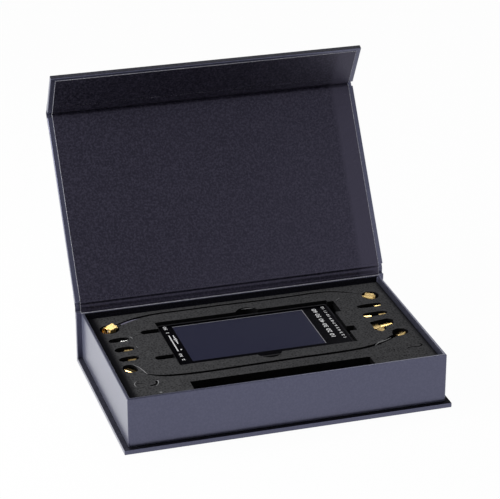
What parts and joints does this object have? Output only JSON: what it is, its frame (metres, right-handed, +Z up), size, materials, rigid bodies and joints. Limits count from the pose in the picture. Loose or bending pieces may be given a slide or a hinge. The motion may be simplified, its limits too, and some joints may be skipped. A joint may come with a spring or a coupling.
{
  "type": "antenna analyzer",
  "caption": "Hand-held antenna analyzer with touch display, lying in a hinged magnetic presentation box with foam-held coaxial test leads, calibration standards and adapters.",
  "frame": {"origin": "on the underside of the base board, below the middle of the tray", "axes": "+X along the box, +Y towards the spine and the lid's hinge, +Z up"},
  "size_m": [0.2362, 0.2239, 0.2006],
  "materials": {
    "wrapped_board": "matte",
    "crease_paper": "matte",
    "lining_paper": "matte",
    "foam": "matte",
    "magnet_steel": "satin",
    "housing_metal": "satin",
    "cover_glass": "gloss",
    "display_panel": "gloss",
    "black_plastic": "matte",
    "flex_film": "satin",
    "circuit_board": "satin",
    "shield_tin": "satin",
    "battery_foil": "satin",
    "steel": "satin",
    "gold_plate": "polished",
    "white_insulator": "satin",
    "lead_jacket": "satin"
  },
  "bodies": {
    "case": {"base_board": "wrapped_board", "tray": "wrapped_board", "tray_magnets": "magnet_steel", "spine_board": "wrapped_board", "spine_crease": "crease_paper", "foam_base_pad": "foam", "foam_middle": "foam", "foam_top": "foam"},
    "lid": {"lid_board": "wrapped_board", "lid_lining": "lining_paper", "lid_hinge_leaf": "crease_paper", "flap_crease": "crease_paper"},
    "flap": {"flap_board": "wrapped_board", "flap_magnets": "magnet_steel", "flap_lining": "lining_paper", "flap_hinge_leaf": "crease_paper"},
    "analyzer": {"rear_housing": "housing_metal", "front_frame": "housing_metal", "touch_glass": "cover_glass", "display_gasket": "black_plastic", "display_module": "display_panel", "display_flex": "flex_film", "main_board": "circuit_board", "rf_shields": "shield_tin", "battery": "battery_foil", "standoffs": "steel", "housing_screws": "steel", "port_1": "gold_plate", "port_2": "gold_plate", "port_insulators": "white_insulator", "port_contacts": "gold_plate", "usb_socket": "steel", "side_switches": "black_plastic"},
    "key_down": {"key_down": "black_plastic"},
    "key_enter": {"key_enter": "black_plastic"},
    "key_up": {"key_up": "black_plastic"},
    "power_button": {"power_button": "black_plastic"},
    "rear_lead": {"rear_lead": "lead_jacket", "rear_lead_plugs": "gold_plate", "rear_lead_inserts": "white_insulator"},
    "rear_lead_nut_left": {"rear_lead_nut_left": "gold_plate"},
    "rear_lead_nut_right": {"rear_lead_nut_right": "gold_plate"},
    "front_lead": {"front_lead": "lead_jacket", "front_lead_plugs": "gold_plate", "front_lead_inserts": "white_insulator"},
    "front_lead_nut_left": {"front_lead_nut_left": "gold_plate"},
    "front_lead_nut_right": {"front_lead_nut_right": "gold_plate"},
    "load_standard": {"load_standard": "gold_plate"},
    "load_standard_nut": {"load_standard_nut": "gold_plate"},
    "short_standard": {"short_standard": "gold_plate"},
    "short_standard_nut": {"short_standard_nut": "gold_plate"},
    "open_standard": {"open_standard": "gold_plate"},
    "open_standard_nut": {"open_standard_nut": "gold_plate"},
    "jack_adapter": {"jack_adapter": "gold_plate"},
    "jack_adapter_nut": {"jack_adapter_nut": "gold_plate"},
    "plug_adapter": {"plug_adapter": "gold_plate"},
    "plug_adapter_nut_left": {"plug_adapter_nut_left": "gold_plate"},
    "plug_adapter_nut_right": {"plug_adapter_nut_right": "gold_plate"},
    "elbow_adapter": {"elbow_adapter": "gold_plate"},
    "elbow_adapter_nut": {"elbow_adapter_nut": "gold_plate"}
  },
  "joints": [
    {"name": "lid_hinge", "type": "hinge", "parent": "case", "child": "lid", "pos_m": [0, 0.0719, 0.0437], "axis": [-1, 0, 0], "range_deg": [-122.9, 69]},
    {"name": "flap_hinge", "type": "hinge", "parent": "lid", "child": "flap", "pos_m": [0, 0.15033, 0.16494], "axis": [-1, 0, 0], "range_deg": [-29.2, 60.8]},
    {"name": "analyzer_lift", "type": "slide", "parent": "case", "child": "analyzer", "axis": [0, 0, 1], "range_m": [0, 0.06]},
    {"name": "key_down_press", "type": "slide", "parent": "analyzer", "child": "key_down", "axis": [-1, 0, 0], "range_m": [0, 0.0006], "stiffness_N_per_m": 1500, "springref_m": -0.0003},
    {"name": "key_enter_press", "type": "slide", "parent": "analyzer", "child": "key_enter", "axis": [-1, 0, 0], "range_m": [0, 0.0006], "stiffness_N_per_m": 1500, "springref_m": -0.0003},
    {"name": "key_up_press", "type": "slide", "parent": "analyzer", "child": "key_up", "axis": [-1, 0, 0], "range_m": [0, 0.0006], "stiffness_N_per_m": 1500, "springref_m": -0.0003},
    {"name": "power_button_press", "type": "slide", "parent": "analyzer", "child": "power_button", "axis": [-1, 0, 0], "range_m": [0, 0.0006], "stiffness_N_per_m": 1500, "springref_m": -0.0003},
    {"name": "rear_lead_lift", "type": "slide", "parent": "case", "child": "rear_lead", "axis": [0, 0, 1], "range_m": [0, 0.06]},
    {"name": "rear_lead_nut_left_spin", "type": "hinge", "parent": "rear_lead", "child": "rear_lead_nut_left", "pos_m": [-0.0992, 0.0462, 0.0343], "axis": [-0.8434, -0.5373, 0], "continuous": true},
    {"name": "rear_lead_nut_right_spin", "type": "hinge", "parent": "rear_lead", "child": "rear_lead_nut_right", "pos_m": [0.0992, 0.0462, 0.032], "axis": [0.8387, -0.5446, 0], "continuous": true},
    {"name": "front_lead_lift", "type": "slide", "parent": "case", "child": "front_lead", "axis": [0, 0, 1], "range_m": [0, 0.06]},
    {"name": "front_lead_nut_left_spin", "type": "hinge", "parent": "front_lead", "child": "front_lead_nut_left", "pos_m": [-0.0997, -0.0174, 0.03012], "axis": [-0.6428, 0.766, 0], "continuous": true},
    {"name": "front_lead_nut_right_spin", "type": "hinge", "parent": "front_lead", "child": "front_lead_nut_right", "pos_m": [0.0997, -0.0174, 0.03012], "axis": [0.829, 0.5592, 0], "continuous": true},
    {"name": "load_standard_lift", "type": "slide", "parent": "case", "child": "load_standard", "axis": [0, 0, 1], "range_m": [0, 0.06]},
    {"name": "load_standard_nut_spin", "type": "hinge", "parent": "load_standard", "child": "load_standard_nut", "pos_m": [-0.0938, -0.00325, 0.03012], "axis": [1, 0, 0], "continuous": true},
    {"name": "short_standard_lift", "type": "slide", "parent": "case", "child": "short_standard", "axis": [0, 0, 1], "range_m": [0, 0.06]},
    {"name": "short_standard_nut_spin", "type": "hinge", "parent": "short_standard", "child": "short_standard_nut", "pos_m": [-0.0938, 0.0118, 0.03012], "axis": [1, 0, 0], "continuous": true},
    {"name": "open_standard_lift", "type": "slide", "parent": "case", "child": "open_standard", "axis": [0, 0, 1], "range_m": [0, 0.06]},
    {"name": "open_standard_nut_spin", "type": "hinge", "parent": "open_standard", "child": "open_standard_nut", "pos_m": [-0.0938, 0.02685, 0.03012], "axis": [1, 0, 0], "continuous": true},
    {"name": "jack_adapter_lift", "type": "slide", "parent": "case", "child": "jack_adapter", "axis": [0, 0, 1], "range_m": [0, 0.06]},
    {"name": "jack_adapter_nut_spin", "type": "hinge", "parent": "jack_adapter", "child": "jack_adapter_nut", "pos_m": [0.099, 0.0293, 0.03012], "axis": [1, 0, 0], "continuous": true},
    {"name": "plug_adapter_lift", "type": "slide", "parent": "case", "child": "plug_adapter", "axis": [0, 0, 1], "range_m": [0, 0.06]},
    {"name": "plug_adapter_nut_left_spin", "type": "hinge", "parent": "plug_adapter", "child": "plug_adapter_nut_left", "pos_m": [0.0859, 0.015, 0.03012], "axis": [-1, 0, 0], "continuous": true},
    {"name": "plug_adapter_nut_right_spin", "type": "hinge", "parent": "plug_adapter", "child": "plug_adapter_nut_right", "pos_m": [0.0983, 0.015, 0.03012], "axis": [1, 0, 0], "continuous": true},
    {"name": "elbow_adapter_lift", "type": "slide", "parent": "case", "child": "elbow_adapter", "axis": [0, 0, 1], "range_m": [0, 0.06]},
    {"name": "elbow_adapter_nut_spin", "type": "hinge", "parent": "elbow_adapter", "child": "elbow_adapter_nut", "pos_m": [0.08878, -0.00703, 0.03012], "axis": [0.2079, -0.9781, 0], "continuous": true}
  ]
}
